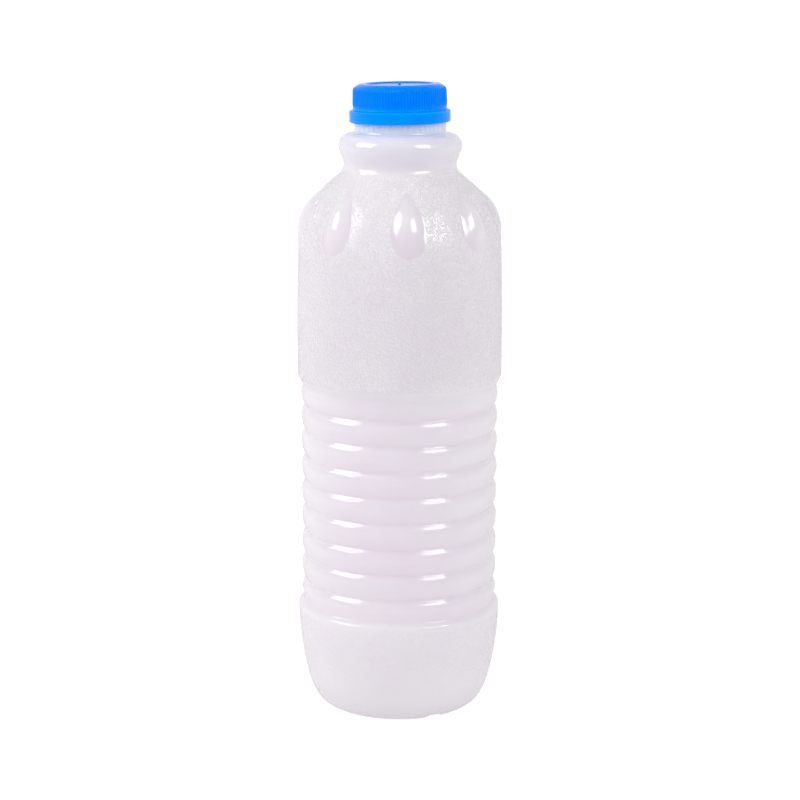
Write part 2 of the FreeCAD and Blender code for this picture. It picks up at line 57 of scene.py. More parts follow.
DROPS, DROP_TIP, DROP_BOTTOM, DROP_HALF, DROP_POINT = 8, 217.6, 192.6, 7.5, 0.75
CREST_ROUND, CREST_Z = 18.7, 199.1
NOTCH_W, NOTCH_D, PARTING = 7.4, 2.6, 27.4
CAP_SEAT, CAP_H, CAP_TILT, CAP_SHIFT = 242.8, 15.2, 0.9, 0.25


def rad(a):
    return math.radians(a)


# ------------------------------------------------------------ bottle outline
def arc(p, q, radius, side, step=0.05):
    """Points of an arc from p to q; side +1 bulges to the left of the way."""
    p, q = np.array(p, float), np.array(q, float)
    chord = q - p
    half = np.hypot(*chord) / 2
    left = np.array([-chord[1], chord[0]]) / (2 * half)
    centre = (p + q) / 2 - left * side * math.sqrt(radius ** 2 - half ** 2)
    a = math.atan2(*(p - centre)[::-1])
    b = math.atan2(*(q - centre)[::-1])
    if side > 0:
        while a < b:
            a += 2 * math.pi
    else:
        while b < a:
            b += 2 * math.pi
    n = max(2, int(abs(b - a) * radius / step))
    t = np.linspace(a, b, n + 1)
    return np.c_[centre[0] + radius * np.cos(t), centre[1] + radius * np.sin(t)]


def polyline(path, step=0.05):
    """Fine points along a chain of lines and arcs given as (r, z, kind)."""
    out = []
    for (r0, z0, kind), (r1, z1, _) in zip(path[:-1], path[1:]):
        if kind is None:
            n = max(1, int(math.hypot(r1 - r0, z1 - z0) / step))
            t = np.linspace(0, 1, n + 1)[:, None]
            pts = np.array([[r0, z0]]) * (1 - t) + np.array([[r1, z1]]) * t
        else:
            pts = arc((r0, z0), (r1, z1), *kind)
        out.append(pts if not out else pts[1:])
    return np.vstack(out)


def bottle_path():
    h1r = FOOT_R + HEEL_ROUND * math.cos(rad(HEEL_ANG))
    h1z = HEEL_ROUND * (1 - math.sin(rad(HEEL_ANG)))
    h2r = h1r + HEEL_MID * (math.cos(rad(WALL_ANG)) - math.cos(rad(HEEL_ANG)))
    h2z = h1z + HEEL_MID * (math.sin(rad(HEEL_ANG)) - math.sin(rad(WALL_ANG)))
    w1r = WAIST_R + WAIST_ROUND * (1 - math.cos(rad(SHOULDER_B)))
    w1z = WAIST_Z - WAIST_ROUND * math.sin(rad(SHOULDER_B))
    w2r = WAIST_R + WAIST_ROUND * (1 - math.cos(rad(BEAD_CONE)))
    w2z = WAIST_Z + WAIST_ROUND * math.sin(rad(BEAD_CONE))
    b0r = BEAD_R - BEAD_ROUND * (1 - math.cos(rad(BEAD_CONE)))
    b0z = BEAD_Z - BEAD_ROUND * math.sin(rad(BEAD_CONE))
    return [
        (0.0, PUSH_UP, None),
        (PUSH_R, PUSH_UP * 0.75, None),
        (FOOT_IN, 0.0, None),
        (FOOT_R, 0.0, (HEEL_ROUND, -1)),
        (h1r, h1z, (HEEL_MID, -1)),
        (h2r, h2z, (HEEL_LONG, -1)),
        (BUMPER_R, BUMPER_TOP - 0.3, None),
        (BUMPER_R - 0.14, BUMPER_TOP + 0.90, None),
        (BUMPER_R - 0.36, BUMPER_TOP + 1.35, None),
        (COVE_R + 0.12, BUMPER_TOP + 2.50, None),
        (COVE_R, BUMPER_TOP + 2.75, None),
        (COVE_R, COVE_TOP, None),
        (RIB_R - 0.05, COVE_TOP + 3.1, None),
        (RIB_R, COVE_TOP + 3.9, None),
        (RIB_R, TOP_RIB - 1.0, None),
        (RIB_R + 0.05, TOP_RIB, None),
        (NECKLINE_R + 0.15, NECKLINE_Z - 0.8, None),
        (NECKLINE_R, NECKLINE_Z, None),
        (NECKLINE_R + 0.3, NECKLINE_Z + 0.85, None),
        (PANEL_R - 0.22, PANEL_BOTTOM - 0.35, None),
        (PANEL_R, PANEL_BOTTOM + 0.35, None),
        (PANEL_MID_R, PANEL_MID_Z, None),
        (PANEL_MID_R - 0.22, PANEL_MID_Z + 12.0, None),
        (PANEL_TOP_R, PANEL_TOP, (SHOULDER_ROUND, -1)),
        (SHOULDER_R, SHOULDER_Z, None),
        (w1r, w1z, (WAIST_ROUND, 1)),
        (w2r, w2z, None),
        (b0r, b0z, (BEAD_ROUND, -1)),
        (BEAD_R, BEAD_Z, (BEAD_ROUND, -1)),
        (BEAD_R - BEAD_ROUND, BEAD_Z + BEAD_ROUND, None),
        (BEAD_IN, BEAD_Z + BEAD_ROUND + 0.10, None),
        (COLLAR_R + 0.28, BEAD_Z + BEAD_ROUND + 0.45, None),
        (COLLAR_R + 0.06, BEAD_Z + BEAD_ROUND + 0.95, None),
        (COLLAR_R, BEAD_Z + BEAD_ROUND + 1.5, None),
        (COLLAR_R, LOCK_TOP, None),
        (FINISH_R, LOCK_TOP, None),
        (FINISH_R, FINISH_TOP, None),
        (0.0, FINISH_TOP, None),
    ]


def rib_relief(z):
    """How far the ribbed wall lies inside the crest line at height z: each rib
    bulges, and a narrow V groove parts it from the next one."""
    z = np.asarray(z, float)
    out = np.zeros_like(z)
    grooves = FIRST_GROOVE + PITCH * np.arange(GROOVES)
    peak, bulge, cut, width = 0.43, 1.40, 0.28, 0.50
    ends = np.r_[grooves[0] - PITCH * 0.86, grooves, grooves[-1] + PITCH]
    for a, b in zip(ends[:-1], ends[1:]):
        m = (z >= a) & (z < b)
        t = (b - z[m]) / (b - a)
        u = np.where(t < peak, (peak - t) / peak, (t - peak) / (1 - peak))
        amount = bulge * np.abs(u) ** 2.1
        if a < grooves[0]:          # lowest rib: no groove under it, only the cove
            amount = np.where(t > peak, 0.0, amount)
        if b > grooves[-1] + 1:     # top rib: it ends in the groove under the panel
            amount = np.where(t < 0.55, 0.0, bulge * np.clip((t - 0.55) / 0.45, 0, 1) ** 2.1)
        out[m] = amount
    for g in grooves:
        out += cut * np.exp(-(z - g) ** 2 / (2 * width ** 2))
    return out


def smooth_rows(pts, sigma, step=0.05):
    """Even arc-length points, with the corners eased by a Gaussian."""
    seg = np.hypot(*np.diff(pts, axis=0).T)
    s = np.r_[0, np.cumsum(seg)]
    grid = np.arange(0, s[-1], step)
    even = np.c_[np.interp(grid, s, pts[:, 0]), np.interp(grid, s, pts[:, 1])]
    k = int(4 * sigma / step)
    w = np.exp(-0.5 * (np.arange(-k, k + 1) * step / sigma) ** 2)
    w /= w.sum()
    pad = np.vstack([2 * even[0] - even[k:0:-1], even, 2 * even[-1] - even[-2:-k - 2:-1]])
    soft = np.c_[np.convolve(pad[:, 0], w, "valid"), np.convolve(pad[:, 1], w, "valid")]
    return soft, grid


def pick_rows(pts, turn, longest, shortest, limit=None):
    """Fewer rows: one wherever the line has turned enough or run far enough.
    limit(r, z) may give a smaller longest step."""
    d = np.diff(pts, axis=0)
    ang = np.unwrap(np.arctan2(d[:, 1], d[:, 0]))
    keep = [0]
    last_a, run = ang[0], 0.0
    swept = 0.0
    for i in range(1, len(pts) - 1):
        run += math.hypot(*d[i - 1])
        swept += abs(ang[i] - ang[i - 1])
        top = longest if limit is None else min(longest, limit(*pts[i]))
        if run >= top or (swept >= turn and run >= shortest):
            keep.append(i)
            run, swept = 0.0, 0.0
    keep.append(len(pts) - 1)
    return pts[keep]


path = bottle_path()
fine = polyline(path)
ribbed = (fine[:, 1] > COVE_TOP + 1.0) & (fine[:, 1] < TOP_RIB + 0.5) & (fine[:, 0] > 38.0)
fine[ribbed, 0] -= rib_relief(fine[ribbed, 1])
soft, _ = smooth_rows(fine, 0.22)
soft[:, 0] = np.maximum(soft[:, 0], 0.0)
soft[:, 1] = np.maximum(soft[:, 1], 0.0)


# length along the outer wall at each height
wall = soft[(soft[:, 0] > 18.0) & (soft[:, 1] < 242.0)]
WALL_Z = np.maximum.accumulate(wall[:, 1])
WALL_RUN = np.r_[0, np.cumsum(np.hypot(*np.diff(wall, axis=0).T))]


def base_radius(z):
    """Radius of the recessed wall between foot and waist at height z."""
    outer = soft[(soft[:, 1] > 188.0) & (soft[:, 1] < 224.0) & (soft[:, 0] > 20.0)]
    order = np.argsort(outer[:, 1])
    return np.interp(z, outer[order, 1], outer[order, 0])


def crest_radius(z):
    base = PANEL_TOP_R + 0.08
    bend = CREST_Z + CREST_ROUND * math.sin(rad(SHOULDER_B))
    up = np.clip(np.asarray(z, float) - CREST_Z, 0, CREST_ROUND * math.sin(rad(SHOULDER_B)))
    r = base - CREST_ROUND + np.sqrt(CREST_ROUND ** 2 - up ** 2)
    return r - np.clip(z - bend, 0, None) * math.tan(rad(SHOULDER_B))


def drop_shape(t):
    return np.sin(t) * np.sin(t / 2) ** DROP_POINT


DROP_FULL = float(drop_shape(np.linspace(0, math.pi, 20001)).max())


def half_width(z):
    c = np.clip(1 - 2 * (DROP_TIP - z) / (DROP_TIP - DROP_BOTTOM), -1, 1)
    t = np.arccos(c)
    return DROP_HALF * drop_shape(t) / DROP_FULL


DROP_TURN = 0.64


def drop_height(z, azimuth):
    """Height of the drops over the recessed wall, and how far inside (<1) or
    outside (>1) the outline of the nearest drop the place is."""
    pitch = 360.0 / DROPS
    off = (azimuth - PARTING + pitch / 2 + pitch / 2) % pitch - pitch / 2
    base = base_radius(z)
    u = np.abs(np.radians(off)) * base
    wide = np.maximum(half_width(z), 1e-3)
    s = u / wide
    rise = np.maximum(crest_radius(z) - base, 0.0)
    # rounded ridge in the middle, hollow fillet at the foot
    near = np.minimum(s, 1.0)
    shape = np.where(near < DROP_TURN, 1 - near ** 2 / DROP_TURN, (1 - near) ** 2 / (1 - DROP_TURN))
    return rise * shape, s


def grid_mesh(name, bands, place):
    """Skin over rings. bands: list of (columns, [(r, z), ...]); neighbouring
    bands have column counts in the ratio 1, 2 or 3. place(r, z, azimuth) gives
    x, y, z and the attributes of a ring."""
    verts, faces, extra = [], [], []
    starts = []
    start = 0
    for count, rows in bands:
        az = PARTING + np.arange(count) * 360.0 / count
        for r, z in rows:
            xyz, att = place(r, z, az)
            verts.append(xyz)
            extra.append(att)
            starts.append((start, count))
            start += count
    verts = np.vstack(verts)
    extra = np.vstack(extra)
    for (a, n), (b, m) in zip(starts[:-1], starts[1:]):
        if n == m:
            i = np.arange(n)
            j = (i + 1) % n
            faces += np.c_[a + i, a + j, b + j, b + i].tolist()
        else:
            up = m > n
            k = m // n if up else n // m
            c0, f0, nc = (a, b, n) if up else (b, a, m)
            nf = nc * k
            for i in range(nc):
                ci, cj = c0 + i, c0 + (i + 1) % nc
                f = [f0 + (i * k + q) % nf for q in range(k + 1)]
                mid = k // 2
                tris = [(ci, f[q + 1], f[q]) for q in range(mid)]
                tris += [(cj, f[q + 1], f[q]) for q in range(mid, k)]
                tris.append((ci, cj, f[mid]))
                if up:
                    faces += [list(t) for t in tris]
                else:
                    faces += [list(t)[::-1] for t in tris]
    # close both ends with a centre point
    for (a, n), flip in ((starts[0], True), (starts[-1], False)):
        centre = verts[a:a + n].mean(0)
        verts = np.vstack([verts, centre])
        extra = np.vstack([extra, extra[a:a + n].mean(0)])
        c = len(verts) - 1
        for i in range(n):
            j = (i + 1) % n
            faces.append([c, a + j, a + i] if flip else [c, a + i, a + j])
    mesh = bpy.data.meshes.new(name)
    mesh.from_pydata((verts * MM).tolist(), [], faces)
    mesh.validate()
    mesh.polygons.foreach_set("use_smooth", np.ones(len(mesh.polygons), bool))
    for k, label in enumerate(("grain", "relief", "groove", "run")):
        layer = mesh.attributes.new(label, "FLOAT", "POINT")
        layer.data.foreach_set("value", extra[:, k].astype(np.float32))
    mesh.update()
    obj = bpy.data.objects.new(name, mesh)
    bpy.context.scene.collection.objects.link(obj)
    return obj


def smoothstep(a, b, x):
    t = np.clip((np.asarray(x, float) - a) / (b - a), 0, 1)
    return t * t * (3 - 2 * t)


def place_bottle(r, z, az):
    """One ring of the shell: drops, collar ribs, foot notch and parting line."""
    n = len(az)
    rr = np.full(n, float(r))
    zz = np.full(n, float(z))
    grain = np.zeros(n)
    relief = np.zeros(n)
    phi = np.radians(az)
    outside = r > 21.0
    if outside and DROP_BOTTOM - 4 < z < DROP_TIP + 3.5:
        lift, s = drop_height(np.full(n, float(z)), az)
        lift = lift * smoothstep(DROP_TIP + 2.5, DROP_TIP - 1.0, z) * smoothstep(DROP_BOTTOM - 1.0, DROP_BOTTOM + 0.6, z)
        rr = rr + lift
        inside = 1 - smoothstep(0.93, 1.03, s)
        if z > DROP_TIP or z < DROP_BOTTOM:
            inside = inside * 0
        relief = inside
    if outside:
        if 100 < z:
            grain[:] = smoothstep(138.6, 140.4, z) * (1 - smoothstep(220.5, 225.0, z))
            grain *= 1 - relief
        else:
            grain[:] = 0.34 * smoothstep(9.0, 27.0, z) * (1 - smoothstep(40.6, 41.6, z))
    if BEAD_Z + BEAD_ROUND + 0.3 < z < COLLAR_TOP + 0.6 and r < 18.9:
        # fine upright ribs round the collar
        wave = 0.5 + 0.5 * np.cos(COLLAR_RIBS * (phi - rad(PARTING)))
        fade = (1 - smoothstep(COLLAR_TOP - 0.3, COLLAR_TOP + 0.5, z)) * smoothstep(BEAD_Z + BEAD_ROUND + 1.1, BEAD_Z + BEAD_ROUND + 2.1, z)
        rr = rr + COLLAR_RIB * wave ** 1.6 * fade
    # mould parting line: a fine raised seam on two opposite columns
    seam = np.minimum(np.abs(np.angle(np.exp(1j * (phi - rad(PARTING))))),
                      np.abs(np.angle(np.exp(1j * (phi - rad(PARTING) - math.pi)))))
    along = seam * max(r, 1.0)
    if r > 19.0 and z < 238.0:
        rr = rr + 0.09 * np.exp(-(along / 0.28) ** 2)
    x = rr * np.sin(phi)
    y = -rr * np.cos(phi)
    # pinch-off notch: a shallow channel across the foot, in the parting plane
    if z < 3.2 and r > 19.0:
        across = x * math.cos(rad(PARTING)) + y * math.sin(rad(PARTING))
        depth = NOTCH_D * np.clip((NOTCH_W / 2 + 0.8 - np.abs(across)) / 1.8, 0, 1)
        zz = np.maximum(zz, depth)
    # groove: mask of the rib grooves and, a little weaker, the cove above the bumper; the material paints shade
    # where it is set
    near = np.abs((z - FIRST_GROOVE + PITCH / 2) % PITCH - PITCH / 2) if 48 < z < 132 else 9.0
    cove = 0.8 * float(smoothstep(44.2, 44.9, z) * (1 - smoothstep(46.5, 48.5, z)))
    groove = np.full(n, max(float(1 - smoothstep(0.2, 1.7, near)), cove))
    run = np.full(n, float(np.interp(z, WALL_Z, WALL_RUN)) * MM)
    return np.c_[x, y, zz], np.c_[grain, relief, groove, run]


def band_of(r, z):
    if z > 190.5 and z < 221.5 and r > 21.0:
        return 512
    if BEAD_Z + BEAD_ROUND + 1.0 < z < COLLAR_TOP + 0.7 and r < 19.2:
        return 768
    return 256


def fine_limit(r, z):
    if 190.0 < z < 221.5 and r > 21.0:
        return 0.52
    if z < 5.0 and r > 22.0:
        return 0.5
    if BEAD_Z + BEAD_ROUND + 0.3 < z < COLLAR_TOP + 0.7 and r < 19.2:
        return 0.7
    if r < 18.0 and z > LOCK_TOP - 0.2:
        return 4.0
    return 2.4


rows = pick_rows(soft, rad(8.0), 4.0, 0.28, fine_limit)
rows = rows[rows[:, 0] > 0.4]
bands = []
for r, z in rows:
    n = band_of(r, z)
    if not bands or bands[-1][0] != n:
        bands.append((n, []))
    bands[-1][1].append((r, z))
bottle = grid_mesh("bottle_shell", bands, place_bottle)
print("bottle rows", len(rows), "faces", len(bottle.data.polygons), [(n, len(b)) for n, b in bands])


# ------------------------------------------------------------------------ cap
def cap_path():
    band_r, band_in, band_top, e = 20.35, 18.95, 4.65, 0.45
    slit_top, slit_r = 4.88, 18.74
    low, high, sc = 18.8, 18.5, 3.4
    under = FINISH_TOP - CAP_SEAT + 0.3
    disc, sink = 13.0, 0.45
    return [
        (0.0, under, None),
        (17.35, under, None),
        (17.35, band_top - 0.7, None),
        (band_in, band_top - 0.7, None),
        (band_in, 0.0, None),
        (band_r - e, 0.0, (e, -1)),
        (band_r, e, None),
        (band_r, band_top - e, (e, -1)),
        (band_r - e, band_top, None),
        (slit_r, band_top, None),
        (slit_r + 0.02, slit_top - 0.12, None),
        (low + 0.20, slit_top + 0.08, None),
        (low + 0.24, slit_top + 0.26, None),
        (low, slit_top + 0.92, None),
        (high + 0.12, CAP_H - sc, (3.0, -1)),
        (high - 2.05, CAP_H - 0.18, None),
        (high - 2.35, CAP_H, None),
        (disc + 0.35, CAP_H, None),
        (disc, CAP_H - sink, None),
        (0.56, CAP_H - sink, None),
        (0.42, CAP_H - sink + 0.66, None),
        (0.30, CAP_H - sink + 0.75, None),
        (0.0, CAP_H - sink + 0.75, None),
    ]


KNURLS = 100
cap_fine = polyline(cap_path())
cap_soft, _ = smooth_rows(cap_fine, 0.09, 0.04)
cap_soft[:, 0] = np.maximum(cap_soft[:, 0], 0.0)
cap_rows = pick_rows(cap_soft, rad(9.0), 1.6, 0.08,
                     lambda r, z: 0.35 if (z > 5.7 and r > 17.2 and z > 11.0) else 1.6)
cap_rows = cap_rows[cap_rows[:, 0] > 0.12]
tilt = Matrix.Rotation(rad(-CAP_TILT), 3, "Y")
pivot = Vector((0, 0, CAP_H / 2))
seat = Vector((-CAP_SHIFT, 0, CAP_SEAT)) + pivot - tilt @ pivot
TILT = np.array(tilt)
SEAT = np.array(seat)


def place_cap(r, z, az):
    n = len(az)
    rr = np.full(n, float(r))
    phi = np.radians(az)
    if z > 5.8 and r > 15.6:
        # knurls: rounded upright ridges that run out on the shoulder
        wave = 0.5 + 0.5 * np.cos(KNURLS * phi)
        ridge = wave ** 1.5
        fade = float(smoothstep(5.9, 6.4, z) * (1 - smoothstep(13.2, 14.5, z)))
        rr = rr + 0.26 * ridge * fade
    loc = np.c_[rr * np.sin(phi), -rr * np.cos(phi), np.full(n, float(z))]
    return loc @ TILT.T + SEAT, np.zeros((n, 4))


def cap_columns(r, z):
    return 1000 if (z > 5.5 and r > 15.4) else 250


cap_bands = []
for r, z in cap_rows:
    n = cap_columns(r, z)
    if cap_bands and cap_bands[-1][0] != n and max(n, cap_bands[-1][0]) // min(n, cap_bands[-1][0]) > 3:
        cap_bands.append((500, [(r, z)]))
        continue
    if not cap_bands or cap_bands[-1][0] != n:
        cap_bands.append((n, []))
    cap_bands[-1][1].append((r, z))
cap = grid_mesh("cap_shell", cap_bands, place_cap)
print("cap rows", len(cap_rows), "faces", len(cap.data.polygons), [(n, len(b)) for n, b in cap_bands])


# ------------------------------------------------------------------ materials
def new_material(name):
    mat = bpy.data.materials.new(name)
    mat.use_nodes = True
    nodes, links = mat.node_tree.nodes, mat.node_tree.links
    nodes.clear()
    out = nodes.new("ShaderNodeOutputMaterial")
    bsdf = nodes.new("ShaderNodeBsdfPrincipled")
    links.new(bsdf.outputs[0], out.inputs["Surface"])
    return mat, nodes, links, bsdf


def ramp(nodes, stops, interpolation="LINEAR"):
    node = nodes.new("ShaderNodeValToRGB")
    cr = node.color_ramp
    cr.interpolation = interpolation
    while len(cr.elements) > 1:
        cr.elements.remove(cr.elements[-1])
    for i, (pos, col) in enumerate(stops):
        el = cr.elements[0] if i == 0 else cr.elements.new(pos)
        el.position = pos
        el.color = (*col, 1.0)
    return node


def math_node(nodes, links, op, a, b=None, clamp=False):
    node = nodes.new("ShaderNodeMath")
    node.operation = op
    node.use_clamp = clamp
    for k, v in enumerate((a, b)):
        if v is None:
            continue
        if isinstance(v, (int, float)):
            node.inputs[k].default_value = v
        else:
            links.new(v, node.inputs[k])
    return node.outputs[0]


def plastic_bottle():
    mat, nodes, links, bsdf = new_material("milky_polyethylene")
    coord = nodes.new("ShaderNodeTexCoord")
    sep = nodes.new("ShaderNodeSeparateXYZ")
    links.new(coord.outputs["Object"], sep.inputs[0])
    height = math_node(nodes, links, "DIVIDE", sep.outputs["Z"], 0.258)
    # milky body colour: pinkish white below, cooler and darker at the neck, and on the collar
    # under the cap a painted blue, standing in for light coloured by the cap
    tone = ramp(nodes, [
        (0.00, (0.872, 0.724, 0.802)),
        (0.160, (0.856, 0.714, 0.788)),
        (0.185, (0.798, 0.695, 0.762)),
        (0.510, (0.804, 0.698, 0.770)),
        (0.545, (0.808, 0.724, 0.790)),
        (0.64, (0.808, 0.724, 0.792)),
        (0.76, (0.806, 0.723, 0.796)),
        (0.835, (0.804, 0.742, 0.800)),
        (0.866, (0.802, 0.748, 0.804)),
        (0.884, (0.700, 0.674, 0.724)),
        (0.900, (0.670, 0.648, 0.705)),
        (0.920, (0.690, 0.680, 0.745)),
        (0.928, (0.640, 0.690, 0.900)),
        (0.942, (0.545, 0.612, 1.000)),
        (1.00, (0.545, 0.612, 1.000)),
    ])
    links.new(height, tone.inputs[0])
    # very faint clouding of the wall
    cloud = nodes.new("ShaderNodeTexNoise")
    cloud.inputs["Scale"].default_value = 38.0
    cloud.inputs["Detail"].default_value = 3.0
    links.new(coord.outputs["Object"], cloud.inputs["Vector"])
    cloud_amt = nodes.new("ShaderNodeMapRange")
    cloud_amt.inputs["From Min"].default_value = 0.3
    cloud_amt.inputs["From Max"].default_value = 0.7
    cloud_amt.inputs["To Min"].default_value = 0.975
    cloud_amt.inputs["To Max"].default_value = 1.02
    links.new(cloud.outputs["Fac"], cloud_amt.inputs["Value"])
    mult = nodes.new("ShaderNodeMix")
    mult.data_type = "RGBA"
    mult.blend_type = "MULTIPLY"
    mult.inputs["Factor"].default_value = 1.0
    grey = nodes.new("ShaderNodeCombineColor")
    for k in range(3):
        links.new(cloud_amt.outputs[0], grey.inputs[k])
    links.new(tone.outputs[0], mult.inputs["A"])
    links.new(grey.outputs[0], mult.inputs["B"])
    # painted shade: in the rib grooves and the cove the colour is mixed towards a greyer, slightly darker tone
    groove = nodes.new("ShaderNodeAttribute")
    groove.attribute_name = "groove"
    groove_shade = nodes.new("ShaderNodeMix")
    groove_shade.data_type = "RGBA"
    links.new(math_node(nodes, links, "MULTIPLY", groove.outputs["Fac"], 0.5), groove_shade.inputs["Factor"])
    links.new(mult.outputs["Result"], groove_shade.inputs["A"])
    groove_shade.inputs["B"].default_value = (0.755, 0.690, 0.745, 1)

    # grain of the moulded wall
    grain = nodes.new("ShaderNodeAttribute")
    grain.attribute_name = "grain"
    # laid out round the bottle and along its wall, so the pebbles keep their size
    run = nodes.new("ShaderNodeAttribute")
    run.attribute_name = "run"
    back = math_node(nodes, links, "MULTIPLY", sep.outputs["Y"], -1.0)
    turn = math_node(nodes, links, "ARCTAN2", sep.outputs["X"], back)
    flat = nodes.new("ShaderNodeCombineXYZ")
    links.new(math_node(nodes, links, "MULTIPLY", turn, 0.0405), flat.inputs[0])
    links.new(run.outputs["Fac"], flat.inputs[1])
    warp = nodes.new("ShaderNodeTexNoise")
    warp.inputs["Scale"].default_value = 520.0
    warp.inputs["Detail"].default_value = 1.0
    links.new(coord.outputs["Object"], warp.inputs["Vector"])
    shift = nodes.new("ShaderNodeVectorMath")
    shift.operation = "MULTIPLY_ADD"
    shift.inputs[1].default_value = (0.0011, 0.0011, 0.0011)
    links.new(warp.outputs["Color"], shift.inputs[0])
    links.new(flat.outputs[0], shift.inputs[2])
    pebbles = nodes.new("ShaderNodeTexVoronoi")
    pebbles.voronoi_dimensions = "2D"
    pebbles.feature = "F1"
    pebbles.inputs["Scale"].default_value = 980.0
    links.new(shift.outputs[0], pebbles.inputs["Vector"])
    peaks = nodes.new("ShaderNodeMapRange")
    peaks.interpolation_type = "SMOOTHSTEP"
    peaks.inputs["From Min"].default_value = 0.58
    peaks.inputs["From Max"].default_value = 0.12
    links.new(pebbles.outputs["Distance"], peaks.inputs["Value"])
    height_map = math_node(nodes, links, "MULTIPLY", peaks.outputs[0], grain.outputs["Fac"])
    # painted shade: the hollows of the grain are painted a shade darker than its tops
    hollow_shade = nodes.new("ShaderNodeMapRange")
    hollow_shade.inputs["To Min"].default_value = 1.215
    hollow_shade.inputs["To Max"].default_value = 1.165
    hollow = math_node(nodes, links, "SUBTRACT", 1.0, peaks.outputs[0])
    links.new(math_node(nodes, links, "MULTIPLY", hollow, grain.outputs["Fac"]), hollow_shade.inputs["Value"])
    toned = nodes.new("ShaderNodeMix")
    toned.data_type = "RGBA"
    toned.blend_type = "MULTIPLY"
    toned.inputs["Factor"].default_value = 1.0
    hollow_shade_rgb = nodes.new("ShaderNodeCombineColor")
    for k in range(3):
        links.new(hollow_shade.outputs[0], hollow_shade_rgb.inputs[k])
    # the drops are toned a little darker and greyer than the grained wall
    drop = nodes.new("ShaderNodeAttribute")
    drop.attribute_name = "relief"
    dull = nodes.new("ShaderNodeMix")
    dull.data_type = "RGBA"
    dull.blend_type = "MULTIPLY"
    links.new(drop.outputs["Fac"], dull.inputs["Factor"])
    links.new(groove_shade.outputs["Result"], dull.inputs["A"])
    dull.inputs["B"].default_value = (0.878, 0.893, 0.885, 1)
    links.new(dull.outputs["Result"], toned.inputs["A"])
    links.new(hollow_shade_rgb.outputs[0], toned.inputs["B"])
    links.new(toned.outputs["Result"], bsdf.inputs["Base Color"])
    bump = nodes.new("ShaderNodeBump")
    bump.inputs["Strength"].default_value = 1.0
    bump.inputs["Distance"].default_value = 0.00030
    links.new(height_map, bump.inputs["Height"])
    links.new(bump.outputs[0], bsdf.inputs["Normal"])
    rough = nodes.new("ShaderNodeMapRange")
    rough.inputs["To Min"].default_value = 0.14
    rough.inputs["To Max"].default_value = 0.26
    links.new(grain.outputs["Fac"], rough.inputs["Value"])
    links.new(rough.outputs[0], bsdf.inputs["Roughness"])
    bsdf.inputs["IOR"].default_value = 1.54
    bsdf.inputs["Specular IOR Level"].default_value = 0.0
    bsdf.inputs["Subsurface Weight"].default_value = 1.0
    bsdf.inputs["Subsurface Radius"].default_value = (1.0, 1.0, 1.0)
    # light wanders far inside the milky body, but only a little way in the collar
    reach = nodes.new("ShaderNodeMapRange")
    reach.inputs["From Min"].default_value = 0.2360
    reach.inputs["From Max"].default_value = 0.2390
    reach.inputs["To Min"].default_value = 0.020
    reach.inputs["To Max"].default_value = 0.002
    links.new(sep.outputs["Z"], reach.inputs["Value"])
    links.new(reach.outputs[0], bsdf.inputs["Subsurface Scale"])
    bsdf.inputs["Coat Weight"].default_value = 1.0
    bsdf.inputs["Coat Roughness"].default_value = 0.07
    bsdf.inputs["Coat IOR"].default_value = 1.78
    links.new(bump.outputs[0], bsdf.inputs["Coat Normal"])
    return mat


